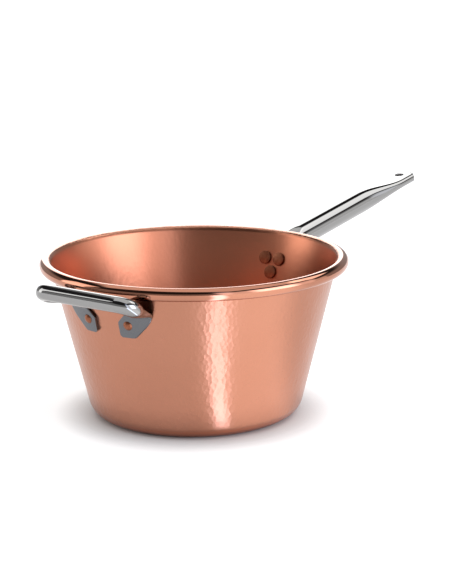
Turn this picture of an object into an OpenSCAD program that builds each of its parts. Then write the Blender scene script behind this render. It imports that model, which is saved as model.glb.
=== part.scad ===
// Copper polenta pot with a long tube handle and a bent helper handle, both riveted to the wall.
// Origin: centre of the base on the table. +Z is up, the long handle points along +X,
// and the helper handle lies opposite it along -X.

/* [Pot] */
// Diameter over the rolled rim
rim_d = 280; // [240:5:340]
// Height from the table to the top of the rim
pot_h = 146; // [130:1:180]
// Diameter at which the line of the wall meets the table
base_d = 190; // [160:5:230]
// Thickness of the copper sheet
sheet = 1.5; // [1:0.1:2]
// Diameter of the bead that the rim is rolled into
bead_d = 11.4; // [9:0.2:13]
// Gap left between the bead's free edge and the wall
curl_gap = 0.4; // [0.2:0.1:1]
// Outer radius of the corner between base and wall
corner_r = 17.5; // [8:0.5:25]

/* [Rivets] */
// Diameter of the rivets' shanks
shank_d = 4; // [3.5:0.5:6]
// Diameter of the flat heads inside the pot
head_d = 12.5; // [9:0.5:14]
// Thickness of the flat heads
head_t = 1.8; // [1.2:0.1:2.5]
// Diameter of the domed ends that close the rivets outside
dome_d = 8.5; // [7:0.5:10]
// Height of the domed ends
dome_h = 2; // [1.5:0.1:3]

/* [Long handle] */
// Diameter of the tube before it is pressed
long_tube_d = 22; // [18:0.5:24]
// Thickness of the tube's steel, two layers of which make the pressed palm
long_gauge = 1.25; // [1:0.05:1.6]
// Distance from the pot's axis to the tip of the handle
long_reach = 371; // [300:1:450]
// Rise of the handle above the level, in degrees
long_rise = 8.5; // [4:0.25:14]
// Depth of the upper rivets' axes below the top of the rim
long_rivet_drop = 26.6; // [24:0.1:34]
// Distance between the two upper rivets
long_rivet_span = 15.9; // [13:0.1:17]
// Distance from the upper rivets down to the lower one
long_rivet_step = 13.4; // [11:0.1:18]
// Length of the palm below the lower rivet
palm_end = 9; // [8:0.5:14]
// Length of the palm's rounded end
palm_round_l = 18; // [12:0.5:20]
// Inner radius of the bend between palm and handle
long_fold_r = 4.5; // [3:0.5:6]
// Length over which the handle loses the wall's curve
long_untwist_l = 15; // [10:1:25]
// Length over which the tube swells from flat to round
swell_l = 38; // [30:1:50]
// Thickness of the handle at its pressed tip
tip_t = 8.4; // [7:0.1:12]
// Length of the flat at the tip
tip_l = 25; // [20:0.5:40]
// Radius that the end of the flat is rounded to, seen from above
tip_round_r = 18; // [16:0.5:24]
// Length over which the tube is pressed down to that flat
press_l = 70; // [40:1:100]
// Height of the flat's middle above the line of the tube's middle
tip_lift = 1.4; // [0:0.1:3]
// Diameter of the hanging hole
hang_d = 9; // [6:0.5:10]
// Distance from the tip to the middle of the hanging hole
hang_inset = 13; // [10:0.5:20]

/* [Helper handle] */
// Diameter of the tube
helper_tube_d = 14; // [12:0.5:15]
// Thickness of the tube's steel, two layers of which make each pressed lug
helper_gauge = 1.1; // [0.9:0.05:1.4]
// Clear space between the rim and the grip, seen from above
grip_gap = 8; // [6:0.5:24]
// Depth of the grip's middle below the top of the rim
grip_drop = 10; // [4:0.5:16]
// Width of the handle over its bends
helper_w = 110; // [104:1:140]
// Radius of the tube's bends, at its middle
bend_r = 9.5; // [8:0.5:12]
// Angle between each lug and the upright, in degrees
lug_angle = 45; // [30:1:50]
// Distance between the two rivets
helper_rivet_span = 43.5; // [40:0.5:50]
// Depth of the rivets' axes below the top of the rim
helper_rivet_drop = 37; // [34:0.1:44]
// Length of each lug from its rivet down to its point
lug_tip = 13; // [10:0.1:18]
// Distance of each rivet from the middle of its lug, towards the other lug
lug_shift = 2.1; // [0:0.1:3]
// Distance from each rivet up the wall to the fold of its lug
lug_rise = 8; // [7:0.5:12]
// Half width of the blunt point of each lug
lug_blunt = 0.3; // [0.2:0.1:2]
// Inner radius of the fold of each lug
lug_fold_r = 5; // [3:0.5:8]
// Radius of the slight bend between each lug and its leg
leg_sweep_r = 24; // [18:1:28]
// Length over which the handle loses the wall's curve
helper_untwist_l = 14; // [10:1:20]

/* [Fit] */
// Gap between each handle and the wall
seat = 0.2; // [0.1:0.05:0.3]
// Gap between a shank and its hole, and under each head
play = 0.1; // [0.05:0.05:0.2]
// Gap between the long handle's upper domes and the bend above them
dome_gap = 0.5; // [0.5:0.1:2]

/* [Hidden] */

copper = "#c87b5a";
rivet_copper = "#a9603f";
steel = "#c9ccd0";

// Segments on round faces, and on the girth of the pressed tubes
fine = 128;
girth_n = 32;

// Lap, in degrees, of the sheet's curved stretches over its straight ones, so that they are one
lap = 0.5;

// Length of the rivet holes' cutters to each side of the wall's outer face
cutter_l = 9;

// Length by which the long tube is left too long, before its end is cut round
cut_l = 2;

// The wall as a straight line in the upright half plane, with the bead's middle beside it
rim_r = rim_d / 2;
base_r = base_d / 2;
bead_r = bead_d / 2;
bead_x = rim_r - bead_r;
bead_z = pot_h - bead_r;
bead_core = bead_r - sheet;
bead_far = norm([bead_x - base_r, bead_z]);
lean = atan2(bead_x - base_r, bead_z) - asin(bead_core / bead_far);
wall_l = sqrt(pow(bead_far, 2) - pow(bead_core, 2));
corner_l = corner_r * tan((90 - lean) / 2);
curl_stop = acos((bead_core - curl_gap) / bead_r);

// Unit vector at an angle
function toward(a) = [cos(a), sin(a)];

// Slant distance up the wall that lies at a given height
function slant(z) = z / cos(lean);

// Outer radius of the wall at a given height
function wall_r(z) = base_r + z * tan(lean);

// Smooth step from 0 to 1 between two values
function ease(x, from, to) =
    let(t = min(1, max(0, (x - from) / (to - from)))) t * t * (3 - 2 * t);

// Outline of a tube pressed flat, which keeps its girth: straight half length for a half thickness
function straight_of(tube_r, half_t) = PI * (tube_r - half_t) / 2;

// Point at a share of the girth round two half circles of radius r that lie 2 * c apart
function girth_point(share, c, r) =
    let(
        u = share * (4 * c + 2 * PI * r),
        u1 = u - PI * r / 2,
        u2 = u1 - 2 * c,
        u3 = u2 - PI * r,
        u4 = u3 - 2 * c,
        turn = 180 / (PI * r)
    )
    u1 < 0 ? [c + r * cos(u * turn), r * sin(u * turn)] :
    u2 < 0 ? [c - u1, r] :
    u3 < 0 ? [-c - r * sin(u2 * turn), r * cos(u2 * turn)] :
    u4 < 0 ? [u3 - c, -r] :
    [c + r * sin(u4 * turn), -r * cos(u4 * turn)];

// A handle runs up the wall to slant distance m, folds outward about a level line and runs on
// straight. A fold is [m, offset of the sheet's middle from the wall, radius, rise of the straight
// part, length of the folded stretch, sideways place of the fold's middle, length of the untwisting].
function fold_centre(m, off, r) =
    [base_r + m * sin(lean) + (off + r) * cos(lean), m * cos(lean) - (off + r) * sin(lean)];

function fold_sag(fold) =
    let(r = fold_centre(fold[0], fold[1], 0)[0]) r - sqrt(r * r - fold[5] * fold[5]);

// Place of a point of the flat pattern: t sideways, q along, h off the sheet's middle
function place(fold, t, q, h) =
    let(
        m = fold[0],
        off = fold[1],
        r = fold[2],
        rise = fold[3],
        bend_l = fold[4],
        share = min(1, max(0, -q / bend_l)),
        angle = rise + (90 - lean - rise) * share,
        mid = fold_centre(m, off, r),
        ahead = q > 0 ? q : min(0, q + bend_l),
        x = mid[0] + (h - r) * sin(angle) + ahead * cos(angle),
        z = mid[1] - (h - r) * cos(angle) + ahead * sin(angle),
        wrap = 1 - ease(q, -bend_l, fold[6])
    )
    [x - (1 - wrap) * fold_sag(fold) - wrap * (x - sqrt(x * x - t * t)), t, z];

// Ring of points round the tube at a station, which is
// [t, q, heading, straight half length, half thickness, lift of its middle]
function ring(fold, s) =
    [for (k = [0 : girth_n - 1])
        let(p = girth_point(k / girth_n, s[3], s[4]))
        place(fold, s[0] + p[0] * sin(s[2]), s[1] - p[0] * cos(s[2]), p[1] - s[5])];

// Solid skin over a row of stations
module pressed_tube(fold, stations) {
    last = len(stations) - 1;
    points = [for (s = stations) each ring(fold, s)];
    sides = [for (i = [0 : last - 1], k = [0 : girth_n - 1])
        let(
            a = i * girth_n + k,
            b = i * girth_n + (k + 1) % girth_n
        )
        each [[a, b, b + girth_n], [a, b + girth_n, a + girth_n]]];
    caps = [
        [for (k = [girth_n - 1 : -1 : 0]) k],
        [for (k = [0 : girth_n - 1]) last * girth_n + k]
    ];
    polyhedron(points = points, faces = concat(sides, caps));
}

// Frame on the wall's outer face with +Z square to it
module at_wall(azimuth, z) {
    rotate([0, 0, azimuth])
        translate([wall_r(z), 0, z])
            rotate([0, 90 + lean, 0])
                children();
}

// Hole for a rivet's shank, through the wall and whatever lies on it
module rivet_hole(azimuth, z) {
    at_wall(azimuth, z)
        translate([0, 0, -cutter_l])
            cylinder(d = shank_d + 2 * play, h = 2 * cutter_l, $fn = fine);
}

// Rivet with a flat head inside the pot, a shank, and an end closed to a dome over the handle
module rivet(azimuth, z, lug_t) {
    sag = head_d * head_d / 8 / wall_r(z);
    head_z = -sheet - sag - play;
    dome_z = seat + lug_t + play;
    cap_r = (pow(dome_d / 2, 2) + dome_h * dome_h) / (2 * dome_h);
    color(rivet_copper)
        at_wall(azimuth, z) {
            translate([0, 0, head_z - head_t])
                cylinder(d = head_d, h = head_t, $fn = fine);
            translate([0, 0, head_z - head_t / 2])
                cylinder(d = shank_d, h = dome_z - head_z + head_t, $fn = fine);
            intersection() {
                translate([0, 0, dome_z + dome_h - cap_r])
                    sphere(r = cap_r, $fn = fine);
                translate([0, 0, dome_z])
                    cylinder(d = dome_d, h = dome_h, $fn = fine);
            }
        }
}

// Long handle: palm on the wall, fold under the bead, straight tube pressed flat towards its tip
long_r = long_tube_d / 2;
palm_off = seat + long_gauge;
long_rivet_z = pot_h - long_rivet_drop;
palm_low = long_rivet_step + palm_end;
palm_rise = dome_d / 2 + dome_gap;
long_bend_r = long_fold_r + long_gauge;
long_bend_l = long_bend_r * (90 - lean - long_rise) * PI / 180;
long_fold = [
    slant(long_rivet_z) + palm_rise, palm_off, long_bend_r, long_rise,
    long_bend_l, 0, long_untwist_l
];
long_start = fold_centre(long_fold[0], palm_off, long_bend_r)
    + long_bend_r * [-sin(long_rise), cos(long_rise)];
long_l = (long_reach - long_start[0]) / cos(long_rise);
long_az = asin(long_rivet_span / 2 / wall_r(long_rivet_z));
long_rivet_places = [
    [long_az, long_rivet_z],
    [-long_az, long_rivet_z],
    [0, long_rivet_z - long_rivet_step * cos(lean)]
];
palm_q = -long_bend_l - palm_rise - palm_low;
palm_w = straight_of(long_r, long_gauge);

// Share of the pressing towards the tip at a distance along the straight part
function pressed(q) = ease(q, long_l - tip_l - press_l, long_l - tip_l);

// Half thickness of the long handle along its straight part
function long_half_t(q) =
    long_gauge + (long_r - long_gauge) * ease(q, 1, swell_l) - (long_r - tip_t / 2) * pressed(q);

function long_stations() =
    let(
        end_n = 8,
        fold_n = 6,
        swell_n = 14,
        press_n = 14,
        palm_rows = [for (i = [1 : end_n])
            let(a = i * 90 / end_n)
            [palm_q + palm_round_l * (1 - cos(a)), palm_w * sin(a)]],
        fold_rows = [for (i = [0 : fold_n]) [-long_bend_l * (1 - i / fold_n), palm_w]],
        swell_rows = [for (i = [1 : swell_n]) i * swell_l / swell_n],
        press_rows = [for (i = [0 : press_n]) long_l - tip_l - press_l * (1 - i / press_n)]
    )
    concat(
        [for (r = concat(palm_rows, fold_rows)) [0, r[0], 90, r[1], long_gauge, 0]],
        [for (q = concat(swell_rows, press_rows, [long_l + cut_l]))
            let(h = long_half_t(q)) [0, q, 90, straight_of(long_r, h), h, tip_lift * pressed(q)]]
    );

// Frame at the tip of the long handle, with +X out along it
module at_tip() {
    translate([long_start[0], 0, long_start[1]])
        rotate([0, -long_rise, 0])
            translate([long_l, 0, tip_lift])
                children();
}

module pot_body() {
    color(copper)
        difference() {
            rotate_extrude($fn = fine)
                wall_profile();
            long_rivet_holes();
            helper_rivet_holes();
        }
}

// Half section of the pot: base, round corner, leaning wall and the rim rolled outward
module wall_profile() {
    corner_x = base_r - corner_l;
    square([corner_x, sheet]);
    translate([corner_x, corner_r])
        intersection() {
            ring_2d(corner_r);
            sector(corner_r, -90 - lap, lap - lean);
        }
    translate([base_r, 0])
        rotate(-lean)
            translate([-sheet, corner_l])
                square([sheet, wall_l - corner_l]);
    translate([bead_x, bead_z])
        difference() {
            ring_2d(bead_r);
            sector(bead_r, 180 - lean + lap, 180 - lean + curl_stop);
        }
}

// Wedge from the middle of a circle to well past its edge, between two angles
module sector(r, from, to) {
    middle = (from + to) / 2;
    polygon([[0, 0], 2 * r * toward(from), 2 * r * toward(middle), 2 * r * toward(to)]);
}

// Ring one sheet thick inside a radius
module ring_2d(r) {
    difference() {
        circle(r, $fn = fine);
        circle(r - sheet, $fn = fine);
    }
}

module long_rivet_holes() {
    for (at = long_rivet_places)
        rivet_hole(at[0], at[1]);
}

module helper_rivet_holes() {
    for (at = helper_rivet_places)
        rivet_hole(at[0], at[1]);
}

module long_handle() {
    color(steel)
        difference() {
            pressed_tube(long_fold, long_stations());
            long_rivet_holes();
            at_tip() {
                translate([-hang_inset, 0, -tip_t])
                    cylinder(d = hang_d, h = 2 * tip_t, $fn = fine);
                translate([-tip_round_r, 0, -tip_t])
                    linear_extrude(2 * tip_t)
                        difference() {
                            translate([0, -2 * tip_round_r])
                                square([2 * tip_round_r, 4 * tip_round_r]);
                            circle(tip_round_r, $fn = fine);
                        }
            }
        }
}

// Helper handle: two pressed lugs folded off the wall, legs, round bends and a straight grip
helper_r = helper_tube_d / 2;
lug_off = seat + helper_gauge;
helper_rivet_z = pot_h - helper_rivet_drop;
helper_az = asin(helper_rivet_span / 2 / wall_r(helper_rivet_z));
helper_rivet_places = [
    [180 - helper_az, helper_rivet_z],
    [180 + helper_az, helper_rivet_z]
];
lug_m = slant(helper_rivet_z) + lug_rise;
lug_bend_r = lug_fold_r + helper_gauge;
lug_mid = fold_centre(lug_m, lug_off, lug_bend_r);
fold_t = helper_rivet_span / 2 + lug_shift / cos(lug_angle) + lug_rise * tan(lug_angle);
grip_at = [rim_r + grip_gap + helper_r + fold_sag([lug_m, lug_off, 0, 0, 0, fold_t]), pot_h - grip_drop];
grip_far = norm(grip_at - lug_mid);
helper_rise = atan2(grip_at[1] - lug_mid[1], grip_at[0] - lug_mid[0]) - asin(lug_bend_r / grip_far);
grip_q = sqrt(pow(grip_far, 2) - pow(lug_bend_r, 2));
lug_bend_l = lug_bend_r * (90 - lean - helper_rise) * PI / 180;
helper_fold = [lug_m, lug_off, lug_bend_r, helper_rise, lug_bend_l, fold_t, helper_untwist_l];
lug_w = straight_of(helper_r, helper_gauge);

// Half thickness of the helper handle at a distance along its flat pattern
function helper_half_t(q) = helper_gauge + (helper_r - helper_gauge) * ease(q, 0, grip_q - bend_r);

// Rows [t, q, heading] along a left hand bend that starts at a point
function bend_rows(from, heading, turn, r, n) =
    let(mid = from + r * [-sin(heading), cos(heading)])
    [for (i = [1 : n])
        let(a = heading + turn * i / n)
        concat(mid + r * [sin(a), -cos(a)], a)];

// Rows along a straight stretch
function straight_rows(from, heading, l, n) =
    [for (i = [1 : n]) concat(from + i * l / n * toward(heading), heading)];

// One half of the helper handle: pointed lug, slight bend at the fold, leg and round bend
function helper_half() =
    let(
        leg_n = 14,
        turn_n = 14,
        sweep_n = 4,
        lug_dir = 90 - lug_angle,
        fold_at = [fold_t, -lug_bend_l],
        lug_l = lug_tip + lug_rise / cos(lug_angle) + lug_shift * tan(lug_angle),
        start = fold_at - lug_l * toward(lug_dir),
        bend_mid = [helper_w / 2 - helper_r - bend_r, grip_q - bend_r],
        bend_far = norm(bend_mid - fold_at),
        leg_dir = atan2(bend_mid[1] - fold_at[1], bend_mid[0] - fold_at[0]) - asin(bend_r / bend_far),
        leg_end = bend_mid + bend_r * [sin(leg_dir), -cos(leg_dir)],
        sweep = leg_dir - lug_dir,
        sweep_l = leg_sweep_r * tan(sweep / 2),
        sweep_at = fold_at - sweep_l * toward(lug_dir),
        leg_at = fold_at + sweep_l * toward(leg_dir),
        slope_l = lug_w - lug_blunt,
        rows = concat(
            straight_rows(start, lug_dir, slope_l, 1),
            straight_rows(start + slope_l * toward(lug_dir), lug_dir,
                lug_l - sweep_l - slope_l, 2),
            bend_rows(sweep_at, lug_dir, sweep, leg_sweep_r, sweep_n),
            straight_rows(leg_at, leg_dir, norm(leg_end - leg_at), leg_n),
            bend_rows(leg_end, leg_dir, 180 - leg_dir, bend_r, turn_n)
        )
    )
    concat(
        [concat(start, [lug_dir, lug_blunt, helper_gauge, 0])],
        [for (r = rows)
            let(h = helper_half_t(r[1])) concat(r, [straight_of(helper_r, h), h, 0])]
    );

function helper_stations() =
    let(half = helper_half())
    concat(half, [for (i = [len(half) - 1 : -1 : 0])
        let(s = half[i]) [-s[0], s[1], -s[2], s[3], s[4], s[5]]]);

module helper_handle() {
    color(steel)
        difference() {
            rotate([0, 0, 180])
                pressed_tube(helper_fold, helper_stations());
            helper_rivet_holes();
        }
}

module long_rivet(i) {
    rivet(long_rivet_places[i][0], long_rivet_places[i][1], 2 * long_gauge);
}

module helper_rivet(i) {
    rivet(helper_rivet_places[i][0], helper_rivet_places[i][1], 2 * helper_gauge);
}

pot_body();
long_handle();
helper_handle();
long_rivet(0);  // long_rivet_1
long_rivet(1);  // long_rivet_2
long_rivet(2);  // long_rivet_3
helper_rivet(0);  // helper_rivet_1
helper_rivet(1);  // helper_rivet_2
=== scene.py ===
"""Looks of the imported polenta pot: hammered copper, polished steel tubes and copper rivets."""

import logging
import math
from collections.abc import Callable
from dataclasses import dataclass, field, replace
from enum import Enum

import bpy
from mathutils import Matrix, Vector


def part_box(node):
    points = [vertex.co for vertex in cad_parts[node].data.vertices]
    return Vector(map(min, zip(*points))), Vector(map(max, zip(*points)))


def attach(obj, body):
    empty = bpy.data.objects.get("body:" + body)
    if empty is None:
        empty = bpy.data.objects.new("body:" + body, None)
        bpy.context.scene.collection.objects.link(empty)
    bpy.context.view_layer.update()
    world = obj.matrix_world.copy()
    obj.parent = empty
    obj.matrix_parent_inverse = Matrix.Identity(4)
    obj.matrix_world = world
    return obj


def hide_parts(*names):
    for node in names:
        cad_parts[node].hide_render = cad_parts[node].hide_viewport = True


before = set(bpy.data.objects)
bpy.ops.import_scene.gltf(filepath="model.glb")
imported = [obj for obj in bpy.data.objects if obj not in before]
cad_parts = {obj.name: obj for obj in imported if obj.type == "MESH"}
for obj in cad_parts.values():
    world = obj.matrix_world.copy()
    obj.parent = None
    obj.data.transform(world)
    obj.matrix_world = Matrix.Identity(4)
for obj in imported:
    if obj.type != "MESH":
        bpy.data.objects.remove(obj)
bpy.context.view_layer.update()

log = logging.getLogger("polenta_pot")

MM = 0.001
BODY = "root"
WHITE = "#FFFFFF"
SMOOTH_ANGLE = math.radians(35)
# A half width in metres that is past any tube's and so trims nothing
UNTRIMMED = 1.0

Tree = bpy.types.NodeTree
Socket = bpy.types.NodeSocket


def linear(hex_colour: str) -> tuple[float, float, float, float]:
    """Turns an sRGB hex value to a linear colour.

    Args:
        hex_colour: Six hex digits after a hash sign.

    Returns:
        Linear red, green, blue and an alpha of one.
    """
    channels = [int(hex_colour[i : i + 2], 16) / 255 for i in (1, 3, 5)]
    red, green, blue = (
        c / 12.92 if c <= 0.04045 else ((c + 0.055) / 1.055) ** 2.4 for c in channels
    )
    return red, green, blue, 1.0


def ease(value: float, start: float, end: float) -> float:
    """Steps smoothly from 0 at start to 1 at end.

    Args:
        value: Where to read the step.
        start: Value at which the step begins.
        end: Value at which the step ends.

    Returns:
        The share of the step that is done.
    """
    share = min(1.0, max(0.0, (value - start) / (end - start)))
    return share * share * (3 - 2 * share)


def add_node(
    tree: Tree,
    kind: str,
    settings: dict[str | int, object] | None = None,
    links: dict[str | int, Socket] | None = None,
) -> bpy.types.Node:
    """Adds one node with its settings and links.

    Args:
        tree: The node tree that gets the node.
        kind: The node's type name.
        settings: Values of its attributes by name, and of its inputs by name or number.
        links: Sockets that feed its inputs, by the input's name or number.

    Returns:
        The new node.
    """
    node = tree.nodes.new(kind)
    for name, value in (settings or {}).items():
        if isinstance(name, str) and hasattr(node, name):
            setattr(node, name, value)
        else:
            node.inputs[name].default_value = value
    for name, socket in (links or {}).items():
        tree.links.new(socket, node.inputs[name])
    return node


def new_material(name: str) -> tuple[bpy.types.Material, Tree]:
    """Makes a material with an empty node tree.

    Args:
        name: The material's name.

    Returns:
        The material and its node tree.
    """
    material = bpy.data.materials.new(name)
    material.use_nodes = True
    material.node_tree.nodes.clear()
    return material, material.node_tree


@dataclass(frozen=True)
class HammeredCopper:
    """Bare copper sheet, planished by hand in small blows and left with a satin sheen.

    The blows break the reflection of a lamp into sparkles, the rolled rim stays smooth, and the
    inside has a deeper tone, which is painted shade for the light that the copper throws back
    on itself.
    """

    wall_foot: float
    lean: float
    name: str = "hammered_copper"
    fresh: str = "#BA816A"
    warm: str = "#B47B63"
    # Painted shade: the inside's deeper tone, for the copper's reflections of itself
    inner_shade: str = "#BC785D"
    blow_width: float = 3.2 * MM
    blow_depth: float = 0.17 * MM
    blow_stretch: float = 0.65
    blow_blend: float = 0.35
    drift_scale: float = 0.6
    drift_share: float = 0.5
    inner_share: float = 0.25
    wave_width: float = 24.0 * MM
    wave_depth: float = 0.5 * MM
    patch_width: float = 60 * MM
    rubbed_width: float = 1.4 * MM
    rubbed_range: tuple[float, float] = (0.95, 1.05)
    wall_roughness: float = 0.28
    inner_roughness: float = 0.32
    bead_roughness: float = 0.07
    bead_step: tuple[float, float] = (0.3 * MM, 1.5 * MM)
    inner_step: tuple[float, float] = (-1.1 * MM, -0.4 * MM)

    def material(self) -> bpy.types.Material:
        """Builds the material.

        Returns:
            The material with its nodes.
        """
        material, tree = new_material(self.name)
        place = add_node(tree, "ShaderNodeTexCoord").outputs["Object"]
        off_wall = self.off_wall(tree, place)
        wall, inner = (
            add_node(
                tree,
                "ShaderNodeMapRange",
                {"From Min": start, "From Max": end, "To Min": 1.0, "To Max": 0.0},
                {"Value": off_wall},
            ).outputs["Result"]
            for start, end in (self.bead_step, self.inner_step)
        )
        shader = add_node(
            tree,
            "ShaderNodeBsdfPrincipled",
            {"Metallic": 1.0},
            {
                "Base Color": self.tone(tree, place, inner),
                "Roughness": self.sheen(tree, place, wall, inner),
                "Normal": self.relief(tree, place, wall, inner),
            },
        )
        add_node(tree, "ShaderNodeOutputMaterial", links={"Surface": shader.outputs[0]})
        return material

    def tone(self, tree: Tree, place: Socket, inner: Socket) -> Socket:
        """Mixes the copper's slow patches and the painted shade of the inside.

        Args:
            tree: The node tree.
            place: The place in the row's frame.
            inner: One on the inner face and zero outside.

        Returns:
            The colour.
        """
        patches = add_node(
            tree,
            "ShaderNodeTexNoise",
            {"Scale": 1 / self.patch_width, "Detail": 3.0},
            {"Vector": place},
        ).outputs["Fac"]
        sheet = add_node(
            tree,
            "ShaderNodeMix",
            {"data_type": "RGBA", 6: linear(self.fresh), 7: linear(self.warm)},
            {0: patches},
        ).outputs[2]
        # The inner face gets painted shade, a deeper tone for the copper's reflections of itself
        return add_node(
            tree,
            "ShaderNodeMix",
            {"data_type": "RGBA", 7: linear(self.inner_shade)},
            {0: inner, 6: sheet},
        ).outputs[2]

    def sheen(self, tree: Tree, place: Socket, wall: Socket, inner: Socket) -> Socket:
        """Sets how satin the wall is, inside and out, and leaves the bead polished.

        Args:
            tree: The node tree.
            place: The place in the row's frame.
            wall: One on the wall and zero on the bead.
            inner: One on the inner face and zero outside.

        Returns:
            The roughness.
        """
        rubbed = add_node(
            tree,
            "ShaderNodeTexNoise",
            {"Scale": 1 / self.rubbed_width, "Detail": 2.0},
            {"Vector": place},
        ).outputs["Fac"]
        satin = add_node(
            tree,
            "ShaderNodeMix",
            {2: self.wall_roughness, 3: self.inner_roughness},
            {0: inner},
        ).outputs[0]
        least, most = self.rubbed_range
        share = add_node(
            tree, "ShaderNodeMapRange", {"To Min": least, "To Max": most}, {"Value": rubbed}
        ).outputs["Result"]
        worn = add_node(
            tree, "ShaderNodeMath", {"operation": "MULTIPLY"}, {0: satin, 1: share}
        ).outputs[0]
        return add_node(
            tree, "ShaderNodeMix", {2: self.bead_roughness}, {0: wall, 3: worn}
        ).outputs[0]

    def relief(self, tree: Tree, place: Socket, wall: Socket, inner: Socket) -> Socket:
        """Dents the wall by blows over slow waves, less deeply inside and not on the bead.

        Args:
            tree: The node tree.
            place: The place in the row's frame.
            wall: One on the wall and zero on the bead.
            inner: One on the inner face and zero outside.

        Returns:
            The direction that the surface faces.
        """
        depth = add_node(
            tree,
            "ShaderNodeMapRange",
            {"To Min": 1.0, "To Max": self.inner_share},
            {"Value": inner},
        ).outputs["Result"]
        formed = add_node(
            tree, "ShaderNodeMath", {"operation": "MULTIPLY"}, {0: wall, 1: depth}
        ).outputs[0]
        waves = add_node(
            tree,
            "ShaderNodeTexNoise",
            {"Scale": 1 / self.wave_width, "Detail": 1.0},
            {"Vector": place},
        ).outputs["Fac"]
        drift = add_node(
            tree,
            "ShaderNodeTexNoise",
            {"Scale": self.drift_scale / self.blow_width, "Detail": 1.0},
            {"Vector": place},
        ).outputs["Color"]
        shifted = add_node(
            tree,
            "ShaderNodeVectorMath",
            {"operation": "MULTIPLY_ADD", 1: (self.drift_share * self.blow_width,) * 3},
            {0: drift, 2: place},
        ).outputs[0]
        stretched = add_node(
            tree,
            "ShaderNodeVectorMath",
            {"operation": "MULTIPLY", 1: (1.0, 1.0, self.blow_stretch)},
            {0: shifted},
        ).outputs[0]
        blows = add_node(
            tree,
            "ShaderNodeTexVoronoi",
            {"feature": "SMOOTH_F1", "Scale": 1 / self.blow_width, "Smoothness": self.blow_blend},
            {"Vector": stretched},
        ).outputs["Distance"]
        bowls = add_node(
            tree, "ShaderNodeMath", {"operation": "MULTIPLY"}, {0: blows, 1: blows}
        ).outputs[0]
        under: dict[str, Socket] = {}
        for height, distance in ((waves, self.wave_depth), (bowls, self.blow_depth)):
            masked = add_node(
                tree, "ShaderNodeMath", {"operation": "MULTIPLY"}, {0: height, 1: formed}
            ).outputs[0]
            bump = add_node(
                tree, "ShaderNodeBump", {"Distance": distance}, {"Height": masked, **under}
            )
            under = {"Normal": bump.outputs["Normal"]}
        return under["Normal"]

    def off_wall(self, tree: Tree, place: Socket) -> Socket:
        """Measures how far a place is outside the wall's outer face, square to the face.

        The inner face is a sheet's thickness below zero, and the bead is above it.

        Args:
            tree: The node tree.
            place: The place in the row's frame.

        Returns:
            The distance.
        """
        flat = add_node(
            tree, "ShaderNodeVectorMath", {"operation": "MULTIPLY", 1: (1.0, 1.0, 0.0)}, {0: place}
        ).outputs[0]
        radius = add_node(
            tree, "ShaderNodeVectorMath", {"operation": "LENGTH"}, {0: flat}
        ).outputs["Value"]
        height = add_node(tree, "ShaderNodeSeparateXYZ", links={0: place}).outputs["Z"]
        both = add_node(tree, "ShaderNodeCombineXYZ", links={"X": radius, "Y": height}).outputs[0]
        foot = add_node(
            tree,
            "ShaderNodeVectorMath",
            {"operation": "SUBTRACT", 1: (self.wall_foot, 0.0, 0.0)},
            {0: both},
        ).outputs[0]
        outward = (math.cos(self.lean), -math.sin(self.lean), 0.0)
        return add_node(
            tree, "ShaderNodeVectorMath", {"operation": "DOT_PRODUCT", 1: outward}, {0: foot}
        ).outputs["Value"]


@dataclass(frozen=True)
class DrawnSteel:
    """Stainless steel tube, drawn and then polished or left with a fine satin.

    Polished steel mirrors the room in hard bands, and satin steel blurs it to one grey. The real
    grain is finer than 0.1 mm, too fine to show, and is drawn at the width given here.
    """

    name: str
    colour: str
    roughness: float
    roughness_range: tuple[float, float] = (0.7, 1.3)
    grain_width: float = 0.5 * MM
    grain_depth: float = 0.002 * MM

    def material(self) -> bpy.types.Material:
        """Builds the material.

        Returns:
            The material with its nodes.
        """
        material, tree = new_material(self.name)
        place = add_node(tree, "ShaderNodeTexCoord").outputs["Object"]
        grain = add_node(
            tree,
            "ShaderNodeTexNoise",
            {"Scale": 1 / self.grain_width, "Detail": 2.0},
            {"Vector": place},
        ).outputs["Fac"]
        least, most = (share * self.roughness for share in self.roughness_range)
        roughness = add_node(
            tree, "ShaderNodeMapRange", {"To Min": least, "To Max": most}, {"Value": grain}
        ).outputs["Result"]
        bump = add_node(
            tree, "ShaderNodeBump", {"Distance": self.grain_depth}, {"Height": grain}
        ).outputs["Normal"]
        shader = add_node(
            tree,
            "ShaderNodeBsdfPrincipled",
            {"Base Color": linear(self.colour), "Metallic": 1.0},
            {"Roughness": roughness, "Normal": bump},
        )
        add_node(tree, "ShaderNodeOutputMaterial", links={"Surface": shader.outputs[0]})
        return material


@dataclass(frozen=True)
class HeadedCopper:
    """Copper rivet, headed with a hammer and browned by heat, so it is duller than the sheet."""

    name: str = "rivet_copper"
    bright: str = "#A56D51"
    brown: str = "#7A4431"
    roughness: float = 0.38
    mark_width: float = 2.5 * MM
    mark_depth: float = 0.05 * MM

    def material(self) -> bpy.types.Material:
        """Builds the material.

        Returns:
            The material with its nodes.
        """
        material, tree = new_material(self.name)
        place = add_node(tree, "ShaderNodeTexCoord").outputs["Object"]
        marks = add_node(
            tree,
            "ShaderNodeTexNoise",
            {"Scale": 1 / self.mark_width, "Detail": 3.0},
            {"Vector": place},
        ).outputs["Fac"]
        colour = add_node(
            tree,
            "ShaderNodeMix",
            {"data_type": "RGBA", 6: linear(self.bright), 7: linear(self.brown)},
            {0: marks},
        )
        bump = add_node(
            tree, "ShaderNodeBump", {"Distance": self.mark_depth}, {"Height": marks}
        ).outputs["Normal"]
        shader = add_node(
            tree,
            "ShaderNodeBsdfPrincipled",
            {"Metallic": 1.0, "Roughness": self.roughness},
            {"Base Color": colour.outputs[2], "Normal": bump},
        )
        add_node(tree, "ShaderNodeOutputMaterial", links={"Surface": shader.outputs[0]})
        return material


def start_piece() -> None:
    """Leaves edit mode and deselects everything, so that the next primitive is alone."""
    if bpy.context.mode != "OBJECT":
        bpy.ops.object.mode_set(mode="OBJECT")
    bpy.ops.object.select_all(action="DESELECT")


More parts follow.
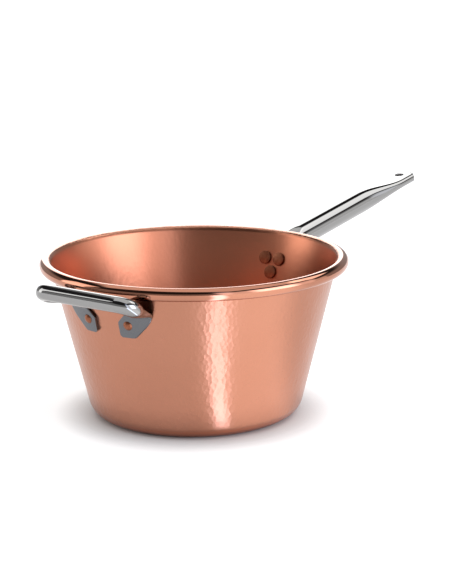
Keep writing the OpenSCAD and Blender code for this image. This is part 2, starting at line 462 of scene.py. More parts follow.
def raise_rings(points: list[tuple[float, float]], segments: int, fill: str) -> None:
    """Starts a round shape with a filled ring and draws each next ring out of the one before.

    Args:
        points: Radius and height of each ring.
        segments: Corners of a ring.
        fill: How the first ring is filled.
    """
    radius, z = points[0]
    start_piece()
    bpy.ops.mesh.primitive_circle_add(
        vertices=segments, radius=radius, fill_type=fill, location=(0, 0, z)
    )
    bpy.ops.object.transform_apply(location=True)
    bpy.ops.object.mode_set(mode="EDIT")
    bpy.ops.mesh.select_mode(type="EDGE")
    bpy.ops.mesh.select_all(action="SELECT")
    bpy.ops.mesh.region_to_loop()
    for next_radius, next_z in points[1:]:
        bpy.ops.mesh.extrude_region_move(TRANSFORM_OT_translate={"value": (0, 0, next_z - z)})
        scale = next_radius / radius
        bpy.ops.transform.resize(value=(scale, scale, 1), center_override=(0, 0, next_z))
        radius, z = next_radius, next_z


def turn_outward() -> None:
    """Turns the faces of the mesh in edit mode outward and goes back to object mode."""
    bpy.ops.mesh.select_all(action="SELECT")
    bpy.ops.mesh.normals_make_consistent(inside=False)
    bpy.ops.object.mode_set(mode="OBJECT")


def finish_piece(
    name: str, node: str, finishes: list[bpy.types.Material]
) -> bpy.types.Object:
    """Names the active object, dresses it and lets it stand for its CAD node.

    Args:
        name: The piece's name.
        node: The CAD node that it stands for.
        finishes: Materials, in the order of the faces' material numbers.

    Returns:
        The finished piece.
    """
    piece = bpy.context.object
    if bpy.context.mode != "OBJECT":
        bpy.ops.object.mode_set(mode="OBJECT")
    piece.name = name
    piece.data.name = name
    for finish in finishes:
        piece.data.materials.append(finish)
    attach(piece, BODY)
    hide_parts(node)
    log.info("%s: %d faces, stands for %s", name, len(piece.data.polygons), node)
    return piece


def apply_modifier(kind: str, **settings: object) -> None:
    """Adds a modifier to the active object and applies it.

    Args:
        kind: The modifier's type.
        **settings: Its settings.
    """
    modifier = bpy.context.object.modifiers.new(kind.lower(), kind)
    for name, value in settings.items():
        setattr(modifier, name, value)
    bpy.ops.object.modifier_apply(modifier=modifier.name)


@dataclass
class PotBody:
    """The pot: one copper sheet, round at the corner, flared, with its rim rolled into a bead."""

    rim_r: float
    height: float
    base_r: float = 95.0 * MM
    sheet: float = 1.5 * MM
    bead_r: float = 5.7 * MM
    corner_r: float = 17.5 * MM
    curl_gap: float = 0.4 * MM
    segments: int = 256
    corner_steps: int = 12
    wall_steps: int = 8
    bead_steps: int = 44
    smooth_angle: float = math.radians(40)
    bead_mid: Vector = field(init=False)
    lean: float = field(init=False)
    wall_l: float = field(init=False)

    def __post_init__(self) -> None:
        """Works out the wall's lean from the rim and the base."""
        self.bead_mid = Vector((self.rim_r - self.bead_r, self.height - self.bead_r))
        across = self.bead_mid - Vector((self.base_r, 0.0))
        core = self.bead_r - self.sheet
        self.lean = math.atan2(across.x, across.y) - math.asin(core / across.length)
        self.wall_l = math.sqrt(across.length_squared - core * core)

    def wall_r(self, z: float) -> float:
        """Gives the wall's outer radius at a height."""
        return self.base_r + z * math.tan(self.lean)

    def profile(self) -> list[tuple[float, float]]:
        """Draws the sheet's inner face from the flat of the base to the curl's free edge.

        Returns:
            Radius and height of each point.
        """
        corner_l = self.corner_r * math.tan((math.pi / 2 - self.lean) / 2)
        mid = Vector((self.base_r - corner_l, self.corner_r))
        inner = self.corner_r - self.sheet
        points = [(mid.x, self.sheet)]
        for i in range(1, self.corner_steps + 1):
            turn = (math.pi / 2 - self.lean) * i / self.corner_steps
            points.append((mid.x + inner * math.sin(turn), mid.y - inner * math.cos(turn)))
        foot = Vector(points[-1])
        rise = Vector((math.sin(self.lean), math.cos(self.lean))) * (self.wall_l - corner_l)
        for i in range(1, self.wall_steps):
            points.append(tuple(foot + rise * i / self.wall_steps))
        stop = math.acos((self.bead_r - self.sheet - self.curl_gap) / self.bead_r)
        for i in range(self.bead_steps + 1):
            turn = math.pi - self.lean - (2 * math.pi - stop) * i / self.bead_steps
            x = self.bead_mid.x + self.bead_r * math.cos(turn)
            points.append((x, self.bead_mid.y + self.bead_r * math.sin(turn)))
        return points

    def build(self, copper: bpy.types.Material) -> bpy.types.Object:
        """Raises the sheet ring by ring from the base's edge and gives it its thickness.

        Args:
            copper: The sheet's finish.

        Returns:
            The finished pot.
        """
        raise_rings(self.profile(), self.segments, "TRIFAN")
        turn_outward()
        inward = bpy.context.object.data.polygons[0].normal.z > 0
        side = -1.0 if inward else 1.0
        apply_modifier("SOLIDIFY", thickness=self.sheet, offset=side, use_even_offset=True)
        bpy.ops.object.shade_smooth_by_angle(angle=self.smooth_angle)
        return finish_piece("pot", "pot_body", [copper])


class Part(Enum):
    """The two stretches of a tube handle, by the number of their finish."""

    TUBE = 0
    LUG = 1


def unchanged(point: Vector, along: float) -> Vector:
    """Leaves a formed point where it is."""
    return point


@dataclass
class Row:
    """One section of a tube on its flat pattern."""

    t: float
    q: float
    heading: float
    half_t: float
    half_w: float = UNTRIMMED
    lift: float = 0.0
    thick: float = 1.0
    after: Callable[[Vector, float], Vector] = unchanged


@dataclass
class TubeHandle:
    """A steel tube, pressed flat where it is riveted, folded off the wall and left round beyond.

    The flat pattern has t sideways, q along from the end of the fold, and h off the middle.
    """

    pot: PotBody
    tube_r: float
    gauge: float
    fold_up: float
    fold_r: float
    rise: float
    fold_t: float
    untwist_l: float
    turned: bool
    seat: float = 0.2 * MM
    weld: float = 0.01 * MM
    girth_n: int = 64

    @property
    def bend_r(self) -> float:
        """Radius of the fold at the sheet's middle."""
        return self.fold_r + self.gauge

    @property
    def bend_l(self) -> float:
        """Length of the folded stretch."""
        return self.bend_r * (math.pi / 2 - self.pot.lean - self.rise)

    def fold_mid(self, offset: float) -> Vector:
        """Gives the point at the fold, as far off the wall as asked, as radius and height."""
        lean = self.pot.lean
        return Vector(
            (
                self.pot.base_r + self.fold_up * math.sin(lean) + offset * math.cos(lean),
                self.fold_up * math.cos(lean) - offset * math.sin(lean),
            )
        )

    def section(self, share: float, half_t: float) -> tuple[float, float]:
        """Finds a point on the outline of the pressed tube, which keeps its girth.

        Args:
            share: Share of the girth, from one flank round over the top.
            half_t: Half the pressed tube's thickness.

        Returns:
            Places along and off the flat.
        """
        straight = math.pi * (self.tube_r - half_t) / 2
        arc = math.pi * half_t
        u = share * 2 * math.pi * self.tube_r - arc / 2
        if u < 0:
            turn = u / half_t + math.pi / 2
            return straight + half_t * math.cos(turn), half_t * math.sin(turn)
        if u < 2 * straight:
            return straight - u, half_t
        u -= 2 * straight
        if u < arc:
            return -straight - half_t * math.sin(u / half_t), half_t * math.cos(u / half_t)
        u -= arc
        if u < 2 * straight:
            return u - straight, -half_t
        u -= 2 * straight
        return straight + half_t * math.sin(u / half_t), -half_t * math.cos(u / half_t)

    def place(self, t: float, q: float, h: float) -> Vector:
        """Folds a point of the flat pattern into place and lays it on the round wall.

        Args:
            t: Place sideways.
            q: Place along, which is negative on the wall.
            h: Place off the sheet's middle.

        Returns:
            The point in the row's frame.
        """
        offset = self.seat + self.gauge
        share = min(1.0, max(0.0, -q / self.bend_l))
        angle = self.rise + (math.pi / 2 - self.pot.lean - self.rise) * share
        mid = self.fold_mid(offset + self.bend_r)
        ahead = q if q > 0 else min(0.0, q + self.bend_l)
        x = mid.x + (h - self.bend_r) * math.sin(angle) + ahead * math.cos(angle)
        z = mid.y - (h - self.bend_r) * math.cos(angle) + ahead * math.sin(angle)
        wrap = 1 - ease(q, -self.bend_l, self.untwist_l)
        fold_x = self.fold_mid(offset).x
        sag = fold_x - math.sqrt(fold_x * fold_x - self.fold_t * self.fold_t)
        x -= (1 - wrap) * sag + wrap * (x - math.sqrt(x * x - t * t))
        return Vector((-x, -t, z)) if self.turned else Vector((x, t, z))

    def roll_tube(self, rows: list[Row]) -> None:
        """Rolls a flat strip into the tube, pressed, bent and folded as its rows say.

        Args:
            rows: The sections along the tube, from end to end.
        """
        start_piece()
        bpy.ops.mesh.primitive_grid_add(
            x_subdivisions=self.girth_n, y_subdivisions=len(rows) - 1, size=1
        )
        mesh = bpy.context.object.data
        for vertex in mesh.vertices:
            share = (vertex.co.x + 0.5) % 1.0
            row = rows[round((vertex.co.y + 0.5) * (len(rows) - 1))]
            along, off = self.section(share, row.half_t)
            along = max(-row.half_w, min(row.half_w, along))
            t = row.t + along * math.sin(row.heading)
            q = row.q - along * math.cos(row.heading)
            vertex.co = row.after(self.place(t, q, off * row.thick - row.lift), along)
        for face in mesh.polygons:
            row = rows[face.index // self.girth_n]
            face.material_index = (Part.LUG if row.q < 0 else Part.TUBE).value
        bpy.ops.object.mode_set(mode="EDIT")
        bpy.ops.mesh.select_all(action="SELECT")
        bpy.ops.mesh.remove_doubles(threshold=self.weld)
        turn_outward()


@dataclass
class LongHandle:
    """The long handle, with a rounded palm, a swell to the full tube and a flat tip with a hole."""

    pot: PotBody
    reach: float
    tube: TubeHandle = field(init=False)
    rise: float = math.radians(8.5)
    rivet_drop: float = 26.6 * MM
    rivet_step: float = 13.4 * MM
    rivet_span: float = 15.9 * MM
    palm_end: float = 9.0 * MM
    palm_round_l: float = 18.0 * MM
    dome_room: float = 4.75 * MM
    swell_l: float = 38.0 * MM
    tip_half_t: float = 4.2 * MM
    tip_l: float = 25.0 * MM
    tip_round_r: float = 18.0 * MM
    press_l: float = 70.0 * MM
    tip_lift: float = 1.4 * MM
    hang_r: float = 4.5 * MM
    hang_inset: float = 13.0 * MM
    hang_segments: int = 64
    edge_round: float = 0.4 * MM
    edge_angle: float = math.radians(60)
    palm_steps: int = 16
    fold_steps: int = 12
    swell_steps: int = 28
    middle_steps: int = 10
    press_steps: int = 28
    tip_steps: int = 12
    length: float = field(init=False)

    def __post_init__(self) -> None:
        """Sets up the tube and works out its straight length."""
        rivet_z = self.pot.height - self.rivet_drop
        self.tube = TubeHandle(
            pot=self.pot,
            tube_r=11.0 * MM,
            gauge=1.25 * MM,
            fold_up=rivet_z / math.cos(self.pot.lean) + self.dome_room,
            fold_r=4.5 * MM,
            rise=self.rise,
            fold_t=0.0,
            untwist_l=15.0 * MM,
            turned=False,
        )
        start = self.tube.place(0, 0, 0)
        overhang = (self.tip_half_t - self.tip_lift) * math.sin(self.rise)
        self.length = (self.reach - overhang - start.x) / math.cos(self.rise)

    def half_t(self, q: float) -> float:
        """Gives the handle's half thickness along its straight part."""
        gauge, full = self.tube.gauge, self.tube.tube_r
        swollen = gauge + (full - gauge) * ease(q, MM, self.swell_l)
        return swollen - (full - self.tip_half_t) * self.pressed(q)

    def pressed(self, q: float) -> float:
        """Gives the share of the pressing towards the tip."""
        return ease(q, self.length - self.tip_l - self.press_l, self.length - self.tip_l)

    def round_end(self, share: float) -> Callable[[Vector, float], Vector]:
        """Makes the step that draws the tip's end back to its round outline.

        Args:
            share: How far the row takes part, up to one at the end.

        Returns:
            The step, for one point and its place across the flat.
        """
        back = Vector((math.cos(self.rise), 0, math.sin(self.rise)))

        def draw_back(point: Vector, along: float) -> Vector:
            """Draws one point back along the handle."""
            sag = self.tip_round_r - math.sqrt(self.tip_round_r**2 - along * along)
            return point - back * sag * share

        return draw_back

    def rows(self) -> list[Row]:
        """Lists the sections from the palm's end to the tip.

        Returns:
            The rows.
        """
        tube, ahead = self.tube, math.pi / 2
        palm_l = self.dome_room + self.rivet_step + self.palm_end
        start = -tube.bend_l - palm_l
        palm_w = math.pi * (tube.tube_r - tube.gauge) / 2 + tube.gauge
        rows = [Row(0, start, ahead, tube.gauge, 0.0, thick=0.0)]
        for i in range(1, self.palm_steps + 1):
            turn = i * math.pi / (2 * self.palm_steps)
            q = start + self.palm_round_l * (1 - math.cos(turn))
            rows.append(Row(0, q, ahead, tube.gauge, palm_w * math.sin(turn)))
        for i in range(self.fold_steps + 1):
            rows.append(Row(0, -tube.bend_l * (1 - i / self.fold_steps), ahead, tube.gauge))
        flat = self.length - self.tip_l
        middle_l = flat - self.press_l - self.swell_l
        swell = [i * self.swell_l / self.swell_steps for i in range(1, self.swell_steps + 1)]
        middle = [
            self.swell_l + i * middle_l / self.middle_steps for i in range(1, self.middle_steps)
        ]
        press = [
            flat - self.press_l * (1 - i / self.press_steps) for i in range(self.press_steps + 1)
        ]
        for q in swell + middle + press:
            lift = self.tip_lift * self.pressed(q)
            rows.append(Row(0, q, ahead, self.half_t(q), lift=lift))
        for i in range(1, self.tip_steps + 1):
            q = flat + self.tip_l * i / self.tip_steps
            after = self.round_end(ease(i, 0, self.tip_steps))
            rows.append(Row(0, q, ahead, self.tip_half_t, lift=self.tip_lift, after=after))
        rows.append(replace(rows[-1], q=self.length, thick=0.0))
        return rows

    def build(self, polished: bpy.types.Material, satin: bpy.types.Material) -> bpy.types.Object:
        """Forms the handle and drills its hanging hole.

        Args:
            polished: Finish of the tube.
            satin: Finish of the palm.

        Returns:
            The finished handle.
        """
        self.tube.roll_tube(self.rows())
        handle = bpy.context.object
        tip = self.tube.place(0, self.length - self.hang_inset, -self.tip_lift)
        start_piece()
        # The drill stands out of the tip on both sides
        bpy.ops.mesh.primitive_cylinder_add(
            vertices=self.hang_segments,
            radius=self.hang_r,
            depth=6 * self.tip_half_t,
            location=tip,
            rotation=(0, -self.rise, 0),
        )
        drill = bpy.context.object
        start_piece()
        bpy.context.view_layer.objects.active = handle
        handle.select_set(True)
        apply_modifier("BOOLEAN", object=drill, operation="DIFFERENCE", solver="EXACT")
        bpy.data.objects.remove(drill)
        apply_modifier(
            "BEVEL",
            width=self.edge_round,
            segments=2,
            limit_method="ANGLE",
            angle_limit=self.edge_angle,
        )
        bpy.ops.object.shade_smooth_by_angle(angle=SMOOTH_ANGLE)
        return finish_piece("long_tube", "long_handle", [polished, satin])


@dataclass
class HelperHandle:
    """The helper handle: two pointed lugs, two legs and a straight grip, bent from one tube."""

    pot: PotBody
    reach: float
    tube: TubeHandle = field(init=False)
    grip_drop: float = 10.0 * MM
    width: float = 110.0 * MM
    bend_r: float = 9.5 * MM
    lug_angle: float = math.radians(45)
    rivet_span: float = 43.5 * MM
    rivet_drop: float = 37.0 * MM
    lug_tip: float = 13.0 * MM
    lug_shift: float = 2.1 * MM
    lug_rise: float = 8.0 * MM
    lug_blunt: float = 0.3 * MM
    leg_sweep_r: float = 24.0 * MM
    lug_steps: int = 16
    sweep_steps: int = 8
    leg_steps: int = 24
    bend_steps: int = 24
    grip_steps: int = 8
    grip_q: float = field(init=False)

    def __post_init__(self) -> None:
        """Sets up the tube and works out how far and how steeply it stands off the wall."""
        rivet_z = self.pot.height - self.rivet_drop
        fold_t = (
            self.rivet_span / 2
            + self.lug_shift / math.cos(self.lug_angle)
            + self.lug_rise * math.tan(self.lug_angle)
        )
        self.tube = TubeHandle(
            pot=self.pot,
            tube_r=7.0 * MM,
            gauge=1.1 * MM,
            fold_up=rivet_z / math.cos(self.pot.lean) + self.lug_rise,
            fold_r=5.0 * MM,
            rise=0.0,
            fold_t=fold_t,
            untwist_l=14.0 * MM,
            turned=True,
        )
        offset = self.tube.seat + self.tube.gauge
        fold_x = self.tube.fold_mid(offset).x
        sag = fold_x - math.sqrt(fold_x * fold_x - fold_t * fold_t)
        grip = Vector((self.reach - self.tube.tube_r + sag, self.pot.height - self.grip_drop))
        across = grip - self.tube.fold_mid(offset + self.tube.bend_r)
        bend_r = self.tube.bend_r
        self.tube.rise = math.atan2(across.y, across.x) - math.asin(bend_r / across.length)
        self.grip_q = math.sqrt(across.length_squared - bend_r**2)

    def half_t(self, q: float) -> float:
        """Gives the tube's half thickness along the flat pattern."""
        gauge, full = self.tube.gauge, self.tube.tube_r
        return gauge + (full - gauge) * ease(q, 0, self.grip_q - self.bend_r)

    @staticmethod
    def arc(
        mid: Vector, radius: float, start: float, end: float, steps: int
    ) -> list[tuple[float, float, float]]:
        """Lays out one bend of the tube on the flat pattern.

        Args:
            mid: Middle of the bend.
            radius: Its radius.
            start: Heading at which it begins.
            end: Heading at which it ends.
            steps: Number of its steps.

        Returns:
            Place sideways, place along and heading of each section.
        """
        rows = []
        for i in range(steps + 1):
            a = start + (end - start) * i / steps
            rows.append((*(mid + radius * Vector((math.sin(a), -math.cos(a)))), a))
        return rows

    def path(self) -> list[tuple[float, float, float]]:
        """Lays out the middle of one half, from a lug's point to the grip.

        Returns:
            Place sideways, place along and heading of each section.
        """
        lug_dir = math.pi / 2 - self.lug_angle
        fold = Vector((self.tube.fold_t, -self.tube.bend_l))
        lug_l = (
            self.lug_tip
            + self.lug_rise / math.cos(self.lug_angle)
            + self.lug_shift * math.tan(self.lug_angle)
        )
        lug = Vector((math.cos(lug_dir), math.sin(lug_dir)))
        start = fold - lug * lug_l
        mid = Vector((self.width / 2 - self.tube.tube_r - self.bend_r, self.grip_q - self.bend_r))
        across = mid - fold
        leg_dir = math.atan2(across.y, across.x) - math.asin(self.bend_r / across.length)
        leg = Vector((math.cos(leg_dir), math.sin(leg_dir)))
        leg_end = mid + self.bend_r * Vector((math.sin(leg_dir), -math.cos(leg_dir)))
        sweep_l = self.leg_sweep_r * math.tan((leg_dir - lug_dir) / 2)
        sweep_at, leg_at = fold - lug * sweep_l, fold + leg * sweep_l
        rows = [
            (*start.lerp(sweep_at, i / self.lug_steps), lug_dir) for i in range(self.lug_steps)
        ]
        sweep_mid = sweep_at + self.leg_sweep_r * Vector((-lug.y, lug.x))
        rows += self.arc(sweep_mid, self.leg_sweep_r, lug_dir, leg_dir, self.sweep_steps)
        rows += [
            (*leg_at.lerp(leg_end, i / self.leg_steps), leg_dir) for i in range(1, self.leg_steps)
        ]
        return rows + self.arc(mid, self.bend_r, leg_dir, math.pi, self.bend_steps)

    def rows(self) -> list[Row]:
        """Lists the sections of the whole handle, from point to point.

        Returns:
            The rows.
        """
        path = self.path()
        lug_w = math.pi * (self.tube.tube_r - self.tube.gauge) / 2 + self.tube.gauge
        start = Vector(path[0][:2])
        half = []
        for t, q, heading in path:
            along = (Vector((t, q)) - start).length
            width = self.lug_blunt + self.tube.gauge + along
            trim = width if width < lug_w else UNTRIMMED
            half.append(Row(t, q, heading, self.half_t(q), trim))
        point = Row(start.x, start.y, path[0][2], self.tube.gauge, half[0].half_w, thick=0.0)
        half.insert(0, point)
        last = half[-1]
        grip = [
            Row(last.t * (1 - i / self.grip_steps), last.q, math.pi, last.half_t)
            for i in range(1, 2 * self.grip_steps)
        ]
        other = [replace(r, t=-r.t, heading=2 * math.pi - r.heading) for r in reversed(half)]
        return half + grip + other

    def build(self, polished: bpy.types.Material, satin: bpy.types.Material) -> bpy.types.Object:
        """Forms the handle.

        Args:
            polished: Finish of the tube.
            satin: Finish of the lugs.

        Returns:
            The finished handle.
        """
        self.tube.roll_tube(self.rows())
        bpy.ops.object.shade_smooth_by_angle(angle=SMOOTH_ANGLE)
        return finish_piece("helper_tube", "helper_handle", [polished, satin])


@dataclass
class Rivet:
    """A copper rivet, with a flat head inside the pot and an end closed to a dome outside."""

    pot: PotBody
    node: str
    azimuth: float
    z: float
    lug_t: float
    shank_r: float = 2.0 * MM
    head_r: float = 6.25 * MM
    head_t: float = 1.8 * MM
    head_edge: float = 0.5 * MM
    dome_r: float = 4.25 * MM
    dome_h: float = 2.0 * MM
    play: float = 0.1 * MM
    seat: float = 0.2 * MM
    segments: int = 48
    edge_steps: int = 4
    dome_steps: int = 8
    dome_top: float = 0.02

    def outline(self) -> list[tuple[float, float]]:
        """Draws the rivet's outline from the middle of its head to the middle of its dome.

        Returns:
            Radius and place along the axis, from the wall's outer face outward.
        """
        sag = (2 * self.head_r) ** 2 / 8 / self.pot.wall_r(self.z)
        seat_z = -self.pot.sheet - sag - self.play
        foot = seat_z - self.head_t
        edge = self.head_edge
        points = [(self.head_r - edge, foot)]
        for i in range(1, self.edge_steps + 1):
            a = i * math.pi / (2 * self.edge_steps)
            r = self.head_r - edge + edge * math.sin(a)
            points.append((r, foot + edge * (1 - math.cos(a))))
        points += [(self.head_r, seat_z), (self.shank_r, seat_z)]
        dome_z = self.seat + self.lug_t + self.play
        cap_r = (self.dome_r**2 + self.dome_h**2) / (2 * self.dome_h)
        points += [(self.shank_r, dome_z)]
        for i in range(self.dome_steps):
            z = self.dome_h * math.sin(i * math.pi / (2 * self.dome_steps))
            points.append((math.sqrt(cap_r**2 - (cap_r - self.dome_h + z) ** 2), dome_z + z))
        points.append((self.dome_top * self.dome_r, dome_z + self.dome_h))
        return points

    def build(self, copper: bpy.types.Material) -> bpy.types.Object:
        """Turns the rivet ring by ring, then sets it in the wall.

        Args:
            copper: The rivet's finish.

        Returns:
            The finished rivet.
        """
        raise_rings(self.outline(), self.segments, "NGON")
        bpy.ops.mesh.edge_face_add()
        turn_outward()
        bpy.ops.object.shade_smooth_by_angle(angle=SMOOTH_ANGLE)
        turn = Matrix.Rotation(self.azimuth, 4, "Z")
        out = Matrix.Translation((self.pot.wall_r(self.z), 0, self.z))
        lean = Matrix.Rotation(math.pi / 2 + self.pot.lean, 4, "Y")
        bpy.context.object.data.transform(turn @ out @ lean)
        name = self.node.replace("rivet", "copper_rivet")
        return finish_piece(name, self.node, [copper])


@dataclass(frozen=True)
class Panel:
    """A soft-edged bright panel of the room, as seen from the pot, in degrees.

    It stands in an upright plane turned from the camera to the photograph's right, reaches half its
    width to each side of that plane, and runs along it from the horizon (0) over the zenith (90) to
    the horizon behind the pot (180).
    """

    name: str
    turn: float
    half_w: float
    along: tuple[float, float]
    strength: float
    colour: str = WHITE
    soft: float = 6.0


@dataclass(frozen=True)
class PaintedGleam:
    """A painted reflection: a patch of floor that glows for metal only, as a lamp's gleam, in
    degrees and metres.
    """

    name: str
    turn: float
    half_w: float
    radius: tuple[float, float]
    strength: float
    colour: str = WHITE
    soft: float = 6.0
    edge_w: float = 30.0 * MM


@dataclass
class Studio:
    """A floor that shows as a white background, soft panels and the photograph's camera."""

    azimuth: float = math.radians(-142.3)
    distance: float = 1.5878
    camera_z: float = 0.4913
    aim: Vector = field(default_factory=lambda: Vector((0.0171, -0.0229, 0.1105)))
    roll: float = math.radians(0.63)
    lens: float = 110.5
    room_strength: float = 0.03
    wall_strength: float = 0.38
    wall_top: float = 22.0
    wall_soft: float = 12.0
    floor_side: float = 60.0
    floor_paint: str = "#C4C4C4"
    floor_glow: float = 0.74
    # The floor's glow fades within this distance of the pot: a painted contact shadow
    shadow_w: float = 36.0 * MM
    shadow_power: float = 1.5
    panels: tuple[Panel, ...] = (
        Panel("backdrop", -175.7, 11.0, (-20.0, 33.0), 2.6, soft=3.0),
        Panel("overhead softbox", 150.0, 36.0, (50.0, 112.0), 1.2, soft=6.0),
        Panel("rear softbox", 126.0, 15.0, (33.0, 52.0), 2.4, soft=4.0),
        Panel("rear wall", 106.0, 7.0, (-15.0, 17.0), 0.7, soft=4.0),
        Panel("right softbox", 59.0, 39.0, (-20.0, 38.0), 1.3, "#F4F7FF", soft=6.0),
        Panel("right softbox core", 63.0, 17.0, (-15.0, 34.0), 3.6, "#E4ECFF", soft=12.0),
        Panel("left softbox", -100.0, 12.5, (-10.0, 38.0), 2.2, soft=3.0),
        Panel("front strip", 22.0, 5.0, (-10.0, 45.0), 0.9, "#D0DFFF", soft=5.0),
    )
    # Painted reflections of lamps, which only metal shows
    patches: tuple[PaintedGleam, ...] = (
        PaintedGleam("column", 15.3, 4.2, (110.0 * MM, 3.0), 4.2, "#C9DCFF", soft=5.0),
        PaintedGleam("right", 42.0, 30.0, (98.0 * MM, 8.0), 0.55, soft=30.0, edge_w=20.0 * MM),
    )

    def build(self) -> None:
        """Sets up the whole studio."""
        self.add_camera()
        self.add_floor()
        self.add_world()

    def add_camera(self) -> None:
        """Adds the camera at the photograph's place."""
        data = bpy.data.cameras.new("camera")
        data.lens = self.lens
        data.sensor_fit = "VERTICAL"
        data.sensor_height = 36.0
        camera = bpy.data.objects.new("camera", data)
        bpy.context.scene.collection.objects.link(camera)
        ahead = Vector((math.cos(self.azimuth), math.sin(self.azimuth)))
        place = Vector((self.distance * ahead.x, self.distance * ahead.y, self.camera_z))
        look = (self.aim - place).to_track_quat("-Z", "Y").to_matrix().to_4x4()
        camera.matrix_world = Matrix.Translation(place) @ look @ Matrix.Rotation(-self.roll, 4, "Z")
        bpy.context.scene.camera = camera

    def turned(self, tree: Tree, place: Socket, turn: float) -> bpy.types.Node:
        """Splits a place or direction into parts ahead, sideways and up from a turned plane."""
        rotated = add_node(
            tree,
            "ShaderNodeVectorRotate",
            {"rotation_type": "Z_AXIS", "Angle": -self.azimuth - math.radians(turn)},
            {"Vector": place},
        ).outputs[0]
        return add_node(tree, "ShaderNodeSeparateXYZ", links={0: rotated})

    def degrees(self, tree: Tree, operation: str, *sockets: Socket) -> Socket:
        """Works out an angle in degrees by an inverse function of some sockets."""
        links = dict(enumerate(sockets))
        angle = add_node(tree, "ShaderNodeMath", {"operation": operation}, links).outputs[0]
        return add_node(tree, "ShaderNodeMath", {"operation": "DEGREES"}, {0: angle}).outputs[0]

    def window(self, tree: Tree, value: Socket, limits: tuple[float, float], soft: float) -> Socket:
        """Gives one between two limits of a value and zero outside, with soft edges.

        Args:
            tree: The node tree.
            value: The value.
            limits: The window's edges.
            soft: Width of each soft edge.

        Returns:
            The window's share.
        """
        edges = [
            add_node(
                tree,
                "ShaderNodeMapRange",
                {
                    "interpolation_type": "SMOOTHSTEP",
                    "From Min": limit - sense * soft / 2,
                    "From Max": limit + sense * soft / 2,
                },
                {"Value": value},
            ).outputs["Result"]
            for limit, sense in zip(limits, (1, -1))
        ]
        return self.product(tree, *edges)

    def product(self, tree: Tree, *factors: Socket | float) -> Socket:
        """Multiplies sockets and numbers.

        Args:
            tree: The node tree.
            *factors: The sockets and numbers, a socket first.

        Returns:
            Their product.
        """
        result = factors[0]
        for factor in factors[1:]:
            node = add_node(tree, "ShaderNodeMath", {"operation": "MULTIPLY"}, {0: result})
            if isinstance(factor, float):
                node.inputs[1].default_value = factor
            else:
                tree.links.new(factor, node.inputs[1])
            result = node.outputs[0]
        return result

    def add_floor(self) -> None:
        """Adds a pale floor that shows white to the camera and in metal and keeps the shadow."""
        start_piece()
        bpy.ops.mesh.primitive_plane_add(size=self.floor_side, location=(0, 0, 0))
        floor = bpy.context.object
        floor.name = "floor"
        material, tree = new_material("pale_floor")
        rays = add_node(tree, "ShaderNodeLightPath")
        shader = add_node(
            tree, "ShaderNodeBsdfDiffuse", {"Color": linear(self.floor_paint)}
        ).outputs[0]
        # The glow fades near the pot by ambient occlusion, a painted contact shadow on top of the
        # real one
        open_sky = add_node(
            tree, "ShaderNodeAmbientOcclusion", {"samples": 8, "Distance": self.shadow_w}
        ).outputs["AO"]
        painted_shadow_share = add_node(
            tree, "ShaderNodeMath", {"operation": "POWER", 1: self.shadow_power}, {0: open_sky}
        ).outputs[0]
        seen = rays.outputs["Is Camera Ray"]
        for kind in ("Is Glossy Ray", "Is Transmission Ray"):
            seen = add_node(
                tree, "ShaderNodeMath", {"operation": "ADD"}, {0: seen, 1: rays.outputs[kind]}
            ).outputs[0]
        lights = [("floor glow", self.product(tree, seen, painted_shadow_share), self.floor_glow, WHITE)]
        place = add_node(tree, "ShaderNodeTexCoord").outputs["Object"]
        radius = add_node(
            tree, "ShaderNodeVectorMath", {"operation": "LENGTH"}, {0: place}
        ).outputs["Value"]
        # Painted reflections: these patches glow only for glossy rays, so only metal shows them
        for patch in self.patches:
            parts = self.turned(tree, place, patch.turn)
            angle = self.degrees(tree, "ARCTAN2", parts.outputs["Y"], parts.outputs["X"])
            across = self.window(tree, angle, (-patch.half_w, patch.half_w), patch.soft)
            outward = self.window(tree, radius, patch.radius, patch.edge_w)
            shown = self.product(tree, across, outward, rays.outputs["Is Glossy Ray"])
            lights.append((patch.name, shown, patch.strength, patch.colour))
        for name, share, strength, colour in lights:
            light = add_node(
                tree,
                "ShaderNodeEmission",
                {"label": name, "Color": linear(colour)},
                {"Strength": self.product(tree, share, strength)},
            ).outputs[0]
            shader = add_node(tree, "ShaderNodeAddShader", links={0: shader, 1: light}).outputs[0]
        add_node(tree, "ShaderNodeOutputMaterial", links={"Surface": shader})
        floor.data.materials.append(material)

    def add_world(self) -> None:
        """Lights the room from its panels, the same for every kind of ray."""
        world = bpy.data.worlds.new("studio")
        bpy.context.scene.world = world
        world.use_nodes = True
        tree = world.node_tree
        tree.nodes.clear()
        place = add_node(tree, "ShaderNodeTexCoord").outputs["Generated"]
        height = add_node(tree, "ShaderNodeSeparateXYZ", links={0: place}).outputs["Z"]
        rise = self.degrees(tree, "ARCSINE", height)
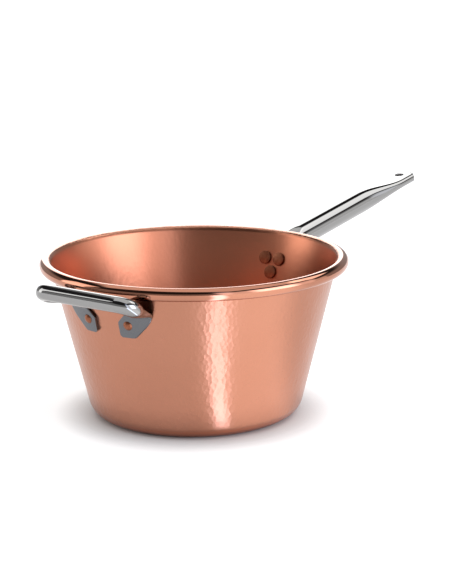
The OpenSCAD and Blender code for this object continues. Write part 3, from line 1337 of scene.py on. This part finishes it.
        # The wall's lower limit is past straight down, so all below its top is wall
        low = self.window(tree, rise, (-180.0, self.wall_top), self.wall_soft)
        walls = add_node(
            tree,
            "ShaderNodeBackground",
            {"label": "walls", "Color": linear(WHITE)},
            {"Strength": self.product(tree, low, self.wall_strength)},
        ).outputs[0]
        ceiling = add_node(
            tree,
            "ShaderNodeBackground",
            {"label": "room", "Color": linear(WHITE), "Strength": self.room_strength},
        ).outputs[0]
        light = add_node(tree, "ShaderNodeAddShader", links={0: ceiling, 1: walls}).outputs[0]
        for panel in self.panels:
            parts = self.turned(tree, place, panel.turn)
            sideways = self.degrees(tree, "ARCSINE", parts.outputs["Y"])
            over = self.degrees(tree, "ARCTAN2", parts.outputs["Z"], parts.outputs["X"])
            across = self.window(tree, sideways, (-panel.half_w, panel.half_w), panel.soft)
            along = self.window(tree, over, panel.along, panel.soft)
            glow = add_node(
                tree,
                "ShaderNodeBackground",
                {"label": panel.name, "Color": linear(panel.colour)},
                {"Strength": self.product(tree, across, along, panel.strength)},
            ).outputs[0]
            light = add_node(tree, "ShaderNodeAddShader", links={0: light, 1: glow}).outputs[0]
        add_node(tree, "ShaderNodeOutputWorld", links={"Surface": light})


def main() -> None:
    """Builds the pot, its handles, its rivets and the studio."""
    logging.basicConfig(level=logging.INFO, format="%(name)s: %(message)s")
    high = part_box("pot_body")[1]
    pot = PotBody(rim_r=high[0], height=high[2])
    copper = HammeredCopper(pot.base_r, pot.lean).material()
    rivet_copper = HeadedCopper().material()
    polished = DrawnSteel("polished_steel", "#969594", 0.05).material()
    # The satin steel is rougher for real, but its grey, darker than the polished steel's, is
    # painted shade on the lugs and the palm
    satin = DrawnSteel("shaded_satin_steel", "#6C6D70", 0.3, grain_depth=0.01 * MM).material()
    Studio().build()
    pot.build(copper)
    long_handle = LongHandle(pot, reach=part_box("long_handle")[1][0])
    long_handle.build(polished, satin)
    helper = HelperHandle(pot, reach=-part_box("helper_handle")[0][0])
    helper.build(polished, satin)
    upper_z = pot.height - long_handle.rivet_drop
    lower_z = upper_z - long_handle.rivet_step * math.cos(pot.lean)
    spread = math.asin(long_handle.rivet_span / 2 / pot.wall_r(upper_z))
    long_t = 2 * long_handle.tube.gauge
    helper_z = pot.height - helper.rivet_drop
    helper_spread = math.asin(helper.rivet_span / 2 / pot.wall_r(helper_z))
    helper_t = 2 * helper.tube.gauge
    for rivet in (
        Rivet(pot, "long_rivet_1", spread, upper_z, long_t),
        Rivet(pot, "long_rivet_2", -spread, upper_z, long_t),
        Rivet(pot, "long_rivet_3", 0.0, lower_z, long_t),
        Rivet(pot, "helper_rivet_1", math.pi - helper_spread, helper_z, helper_t),
        Rivet(pot, "helper_rivet_2", math.pi + helper_spread, helper_z, helper_t),
    ):
        rivet.build(rivet_copper)
    bpy.context.scene.view_settings.view_transform = "Standard"


if __name__ == "__main__":
    main()
